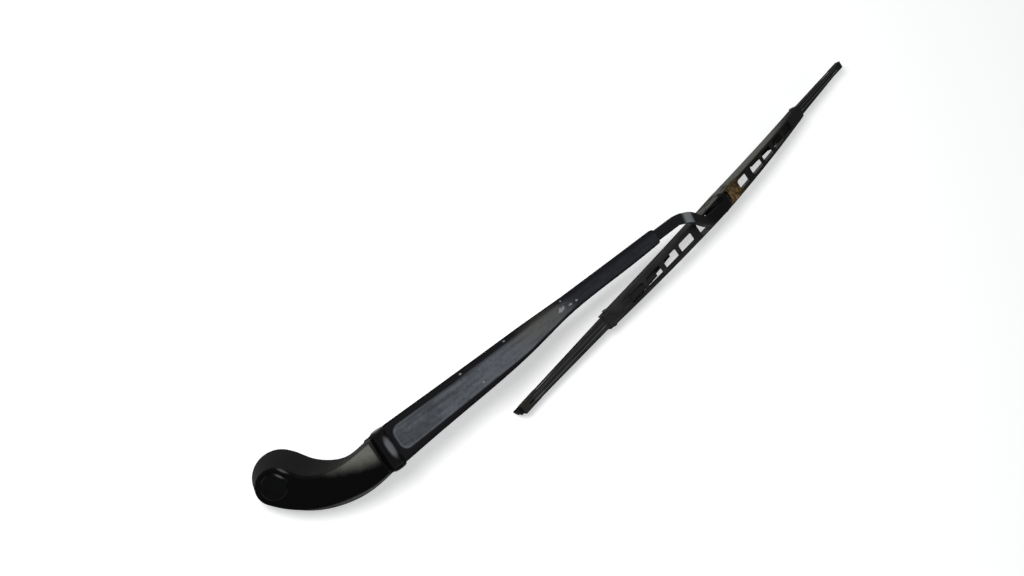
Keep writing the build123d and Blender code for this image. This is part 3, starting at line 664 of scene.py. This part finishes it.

# %% Painted highlight lines and ends
from_middle = calc(tree, "ABSOLUTE", position["X"], 0.0)
on_lever = product(tree, ramp(tree, from_middle, 0.152, 0.158), ramp(tree, from_middle, 0.242, 0.232), roof)
# Two painted highlights run along each lever's pressed rib: a broad soft line and a thin brighter one.
broad_ridge_highlight = product(tree, band(tree, position["Y"], 0.0021, 0.0007), on_lever)
thin_ridge_highlight = product(tree, band(tree, position["Y"], -0.0009, 0.00055), on_lever)
edge = worn_edge(tree, place, width=0.0005, grain=200.0, amount=0.5)
grime_share = 0.6
grime = level(tree, noise(tree, place, scale=480.0, detail=4.0), 0.35, 1.5)
grime = product(tree, grime_share, grime, clamp=True)
rubbed = ramp(tree, noise(tree, place, scale=520.0, detail=5.0, stretch=(0.1, 1.0, 1.0)), 0.2, 0.86)
near_half = product(tree, ramp(tree, position["X"], 0.02, -0.09), rubbed)
near_end = ramp(tree, position["X"], -0.236, -0.244)
print("bow: rubbed lines, near half and near end masked")

# %% Bow colours
colour = coated(tree, (0.004, 0.004, 0.0043),
                (grime, 1, (0.0155, 0.0155, 0.0152)),
                (near_half, 1, (0.033, 0.033, 0.0325)),
                (film, 1, (0.108, 0.109, 0.097)),
                (edge, 0.3, (0.07, 0.07, 0.068)),
                (broad_ridge_highlight, 0.55, (0.06, 0.062, 0.066)),
                (thin_ridge_highlight, 0.8, (0.12, 0.123, 0.13)),
                (rust_spot, 1, rust),
                (near_end, 0.8, (0.026, 0.024, 0.019)))
dress(tree, shader, colour, level(tree, rust_spot, 0.5, 0.85))
rust_crust = 3.0
relief = calc(tree, "ADD", product(tree, rust_spot, rust_tone, rust_crust),
              noise(tree, place, scale=800.0, detail=3.0))
bumped(tree, shader, relief, depth=0.00004)
paint(bow_finish, "main_yoke", "secondary_lever_near", "secondary_lever_far", "claw_yoke_near",
      "claw_yoke_far")

# %% [markdown]
# ## Plastic, rubber and plain steel
# The cap and the hook's clip are moulded plastic, the strip is aged rubber, the spring with its link and pin
# is dull steel, and the other pins and rivets are blackened. Each has its own grain. The cap's rim catches a
# short glint on the side towards the arm.

# %% Plastic
plastic_finish, tree, shader, place = new_finish("black_plastic", head_axes, jet_black, roughness=0.38,
                                                 specular=black_gloss)
haze = noise(tree, place, scale=120.0, detail=4.0)
rim_glint = spot(tree, turned(tree, place, glint_turn), centre=(0.0069, 0.0, 0.012),
                 half_size=(0.0006, 0.003, 0.02), softness=0.5, ragged=0.4, grain=300.0)
colour = coated(tree, (0.0018, 0.0019, 0.002), (haze, 1, (0.0058, 0.006, 0.0062)),
                (rim_glint, 0.8, (0.1, 0.1, 0.103)))
dress(tree, shader, colour, level(tree, haze, 0.3, 0.5))
bumped(tree, shader, noise(tree, place, scale=1600.0, detail=2.0), depth=0.00003)
paint(plastic_finish, "nut_cap", "adapter_clip", "lever_bush_near", "lever_bush_far")

# %% Rubber
rubber_finish, tree, shader, place = new_finish("blade_rubber", blade_axes, jet_black, roughness=0.6,
                                                specular=black_gloss)
bloom = noise(tree, place, scale=90.0, detail=5.0)
colour = over(tree, bloom, (0.004, 0.004, 0.0042), (0.014, 0.014, 0.0138))
dress(tree, shader, colour, level(tree, bloom, 0.5, 0.75))
bumped(tree, shader, noise(tree, place, scale=1100.0, detail=2.0), depth=0.00003)
print("blade_rubber for the lengths of the strip")

# %% Steel
steel_finish, tree, shader, place = new_finish("plain_steel", arm_axes, (0.3, 0.3, 0.3), roughness=0.4,
                                               specular=0.5)
shader["Metallic"].default_value = 1.0
tarnish = noise(tree, place, scale=160.0, detail=5.0)
colour = over(tree, tarnish, (0.1, 0.095, 0.09), (0.4, 0.4, 0.4))
dress(tree, shader, colour, level(tree, tarnish, 0.55, 0.3))
bumped(tree, shader, noise(tree, place, scale=900.0, detail=2.0), depth=0.00002)
paint(steel_finish, "spring_pin", "spring_link")

# %% Black pins
pin_gloss = 0.12
pin_finish, tree, shader, place = new_finish("black_pin", arm_axes, jet_black, roughness=0.35,
                                             specular=pin_gloss)
scuff = noise(tree, place, scale=300.0, detail=4.0)
edge = worn_edge(tree, place, width=0.0004, grain=300.0, amount=0.5)
colour = coated(tree, (0.004, 0.004, 0.0045), (scuff, 1, (0.014, 0.014, 0.015)), (edge, 0.5, (0.1, 0.1, 0.1)))
dress(tree, shader, colour, level(tree, scuff, 0.3, 0.5))
paint(pin_finish, "hinge_pin", "pivot_pin", "lever_rivet_near", "lever_rivet_far", "claw_rivet_near",
      "claw_rivet_far")

# %% [markdown]
# ## Spring: a close-wound coil
# The CAD holds the spring as a ridged tube with two eyes. The real one is a single wire wound turn on turn. A
# curve with a bevel could draw it, but a spin that also steps along its axis winds a wire's section straight
# into a coil, and a full spin of the same section makes each eye.

# %% Wire sections
wire_radius = 0.0008
coil_radius = 0.004
eye_radius = 0.0036
wire_sides = 8
eye_steps = 24
merge_distance = 1e-6


def wire_section(mesh, middle, turned_about):
    """A ring of wire, turned so that a spin runs along its normal."""
    ring = bmesh.ops.create_circle(mesh, segments=wire_sides, radius=wire_radius)["verts"]
    bmesh.ops.rotate(mesh, verts=ring, cent=(0, 0, 0), matrix=Matrix.Rotation(pi / 2, 3, turned_about))
    bmesh.ops.translate(mesh, verts=ring, vec=middle)
    return ring + list(dict.fromkeys(side for corner in ring for side in corner.link_edges))


def spring_eye(mesh, middle, axis, radial):
    """A closed ring of wire at an end of the spring."""
    section = wire_section(mesh, Vector((middle, 0, 0)) + eye_radius * Vector(radial), "Y")
    bmesh.ops.spin(mesh, geom=section, cent=(middle, 0, 0), axis=axis, angle=tau, steps=eye_steps,
                   use_merge=True)


def close_ends(mesh):
    """Fills the open ends of a mesh."""
    bmesh.ops.holes_fill(mesh, edges=[side for side in mesh.edges if side.is_boundary], sides=0)


def new_piece(name, mesh, finish):
    """A finished piece from a bmesh that already lies in its place."""
    bmesh.ops.remove_doubles(mesh, verts=mesh.verts, dist=merge_distance)
    bmesh.ops.recalc_face_normals(mesh, faces=mesh.faces)
    data = bpy.data.meshes.new(name)
    mesh.to_mesh(data)
    mesh.free()
    data.materials.append(finish)
    piece = bpy.data.objects.new(name, data)
    bpy.context.scene.collection.objects.link(piece)
    print(name, "has", len(data.polygons), "faces")
    return piece


# %% Measure the spring
link_pin = joint_at["link_swing"]
rod_hole = hinge + Vector((0.124, 0.00585, -0.00062))
link_length = 0.023
link_pitch = atan2(rod_hole.z - link_pin.z, rod_hole.x - link_pin.x)
link_hole = link_pin + link_length * Vector((cos(link_pitch), 0, sin(link_pitch)))
spring_length = (rod_hole - link_hole).length
spring_along = (rod_hole - link_hole).normalized()
spring_side = spring_along.cross(Vector((0, 0, 1))).normalized()
spring_axes = Matrix((spring_along, spring_side.cross(spring_along), spring_side)).transposed().to_4x4()
coil_length = spring_length - 4 * eye_radius
turn_pitch, steps_per_turn = 2.06 * wire_radius, 14
turns = int(coil_length / turn_pitch)
coil_steps = steps_per_turn * turns
print("spring:", turns, "turns over", round(1000 * coil_length, 1), "mm")

# %% Wind the spring
spring_mesh = bmesh.new()
section = wire_section(spring_mesh, (2 * eye_radius, 0, coil_radius - wire_radius), "X")
bmesh.ops.spin(spring_mesh, geom=section, cent=(0, 0, 0), axis=(1, 0, 0), angle=tau * turns, steps=coil_steps,
               dvec=(coil_length / coil_steps, 0, 0))
close_ends(spring_mesh)
spring_eye(spring_mesh, eye_radius, (0, 1, 0), (0, 0, 1))
spring_eye(spring_mesh, spring_length - eye_radius, (0, 0, 1), (0, 1, 0))
# The wire's walls are quads and look round, while its cut ends stay flat.
for face in spring_mesh.faces:
    face.smooth = len(face.verts) == 4
bmesh.ops.transform(spring_mesh, matrix=Matrix.Translation(link_hole) @ spring_axes, verts=spring_mesh.verts)
spring = new_piece("spring_coil", spring_mesh, steel_finish)
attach(spring, "arm")
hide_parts("tension_spring")

# %% [markdown]
# ## Rubber strip and its two steel backings
# The strip and the thin steel strips in its grooves are springy. On the blade they follow the claws that grip
# them: the small claw yokes near the middle and the claws at the levers' ends. The CAD holds them as straight
# solids, so a copy of each is cut into six lengths. From the cross pin outwards, each half is cut into three
# lengths, one for each bend: from the bow to the lever, from the lever to the claw yoke and back to the
# lever's end. Each length gets crosswise cuts in short steps over the span of its bend.

# %% Lengths of the strips
# Each length has its first and last place and its bend's start and end, measured from the cross pin.
blade_turn = blade_axes[1].to_matrix()
blade_along = blade_turn @ Vector((1, 0, 0))
claw_rivet = (joint_at["far_claws_pivot"] - blade_pin).dot(blade_along)
root_end, strip_end = 0.054, 0.3
lengths = {"root": (0.0, root_end, 0.001, 0.0535), "grip": (root_end, claw_rivet, 0.0545, 0.064),
           "tip": (claw_rivet, strip_end, 0.131, 0.148)}
bend_cuts = 9
end_reach = {"near": 0.006, "far": 0.0025}
end_depth = 1e-4
flat_angle = radians(1)
print("claw yokes grip the strip", round(1000 * claw_rivet, 1), "mm from the cross pin")


# %% Strip helpers
def cut_across(mesh, distance, sign, **keep):
    """Cuts a strip across its length, so many metres from the cross pin."""
    everything = mesh.verts[:] + mesh.edges[:] + mesh.faces[:]
    bmesh.ops.bisect_plane(mesh, geom=everything, plane_co=blade_pin + sign * distance * blade_along,
                           plane_no=sign * blade_along, **keep)


def draw_out(mesh, sign, longer):
    """Moves a strip's outer end outwards."""
    reached = {corner: sign * blade_along.dot(corner.co - blade_pin) for corner in mesh.verts}
    end_face = [corner for corner, away in reached.items() if away > max(reached.values()) - end_depth]
    bmesh.ops.translate(mesh, verts=end_face, vec=sign * longer * blade_along)


def bending_length(node, name, sign, lies, finish, longer):
    """One length of a straight strip, with crosswise cuts over its bend's span, its end drawn out if asked.
    """
    first, last, bend_start, bend_end = lies
    mesh = bmesh.new()
    mesh.from_mesh(nodes[node].data)
    bmesh.ops.remove_doubles(mesh, verts=mesh.verts, dist=merge_distance)
    bmesh.ops.dissolve_limit(mesh, angle_limit=flat_angle, verts=mesh.verts, edges=mesh.edges)
    cut_across(mesh, first, sign, clear_inner=True)
    cut_across(mesh, last, sign, clear_outer=True)
    close_ends(mesh)
    if last == strip_end:
        draw_out(mesh, sign, longer)
    for cut in range(bend_cuts):
        cut_across(mesh, bend_start + (bend_end - bend_start) * cut / (bend_cuts - 1), sign)
    length = new_piece(name, mesh, finish)
    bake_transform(length)
    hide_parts(node)


# %% Cut the strips
strips = (("wiper_rubber", "rubber", rubber_finish, "blade_rubber"),
          ("flexor_strip_left", "flexor_left", steel_finish, "plain_steel"),
          ("flexor_strip_right", "flexor_right", steel_finish, "plain_steel"))
for end, sign in (("near", -1), ("far", 1)):
    for node, short_name, finish, slot_name in strips:
        longer = end_reach[end] if node == "wiper_rubber" else 0.0
        for part, lies in lengths.items():
            name = f"{short_name}_{end}_{part}"
            bending_length(node, name, sign, lies, finish, longer)

# %% [markdown]
# ## Base of the adapter
# No light shows through the bow's window around the hook, so the plastic adapter is broader below than the
# clip that grips the rod. A thin flange with rounded corners at the clip's lower wall closes the view. A box
# from an operator, stretched and bevelled, is all it takes, and it rides with the arm as the clip does.

# %% Adapter flange
base_rear, base_front = -0.0175, 0.0195
base_half_width, base_thickness, base_drop = 0.0059, 0.0008, 0.0038
base_corner, corner_steps = 0.0025, 4
base_size = (base_front - base_rear, 2 * base_half_width, base_thickness)
base_middle = ((base_front + base_rear) / 2, 0, -base_drop)
base_mesh = bmesh.new()
bmesh.ops.create_cube(base_mesh, size=1.0)
bmesh.ops.scale(base_mesh, verts=base_mesh.verts, vec=base_size)
bmesh.ops.translate(base_mesh, verts=base_mesh.verts, vec=base_middle)
upright = [side for side in base_mesh.edges
           if abs(side.verts[0].co.z - side.verts[1].co.z) > base_thickness / 2]
bmesh.ops.bevel(base_mesh, geom=upright, offset=base_corner, offset_type="OFFSET", affect="EDGES",
                segments=corner_steps, profile=0.5, material=-1)
base_place = Matrix.Translation(blade_pin) @ blade_turn.to_4x4()
bmesh.ops.transform(base_mesh, matrix=base_place, verts=base_mesh.verts)
adapter_base = new_piece("adapter_base", base_mesh, plastic_finish)
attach(adapter_base, "arm")
